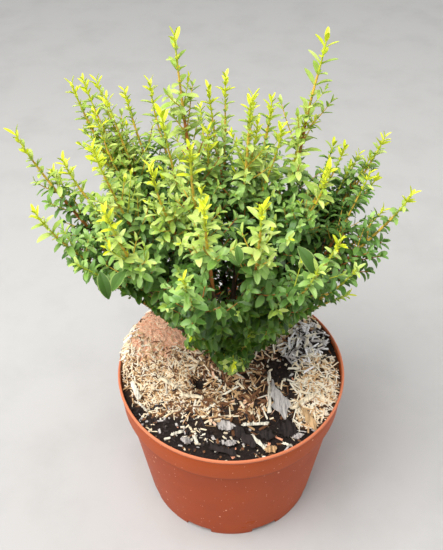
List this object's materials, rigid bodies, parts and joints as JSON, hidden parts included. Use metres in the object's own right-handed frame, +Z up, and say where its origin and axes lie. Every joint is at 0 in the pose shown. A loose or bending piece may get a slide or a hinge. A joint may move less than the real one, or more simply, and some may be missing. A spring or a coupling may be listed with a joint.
{
  "type": "potted chinese privet",
  "caption": "Bushy privet shrub with many upright leafy shoots on a short stem, growing in a tapered round plastic nursery pot topped with bark mulch.",
  "frame": {"origin": "centre of the pot's flat underside, where it stands on the floor", "axes": "+Z up along the pot's axis; -Y towards the side that the picture shows, +X to its right"},
  "size_m": [0.4121, 0.3782, 0.6265],
  "materials": {
    "pot_plastic": "terracotta-coloured moulded plastic with a soft sheen",
    "mulch": "shredded bark and wood chips over dark compost",
    "bark": "fine grey-brown bark",
    "foliage": "small satin leaves, dark green with lime-yellow tips"
  },
  "bodies": {
    "root": {"bough_back": "bark", "bough_back_left": "bark", "bough_back_right": "bark", "bough_centre": "bark", "bough_centre_left": "bark", "bough_far_left": "bark", "bough_far_right": "bark", "bough_front": "bark", "bough_front_left": "bark", "bough_front_right": "bark", "bough_left": "bark", "bough_left_top": "bark", "bough_right_back": "bark", "bough_right_front": "bark", "bough_tall_left": "bark", "bough_tall_right": "bark", "foliage_back": "foliage", "foliage_back_left": "foliage", "foliage_back_right": "foliage", "foliage_centre": "foliage", "foliage_centre_left": "foliage", "foliage_far_left": "foliage", "foliage_far_right": "foliage", "foliage_front": "foliage", "foliage_front_left": "foliage", "foliage_front_right": "foliage", "foliage_left": "foliage", "foliage_left_top": "foliage", "foliage_low_back": "foliage", "foliage_low_front": "foliage", "foliage_low_left": "foliage", "foliage_low_right": "foliage", "foliage_right_back": "foliage", "foliage_right_front": "foliage", "foliage_tall_left": "foliage", "foliage_tall_right": "foliage", "pot": "pot_plastic", "soil": "mulch", "stem": "bark"}
  },
  "joints": []
}
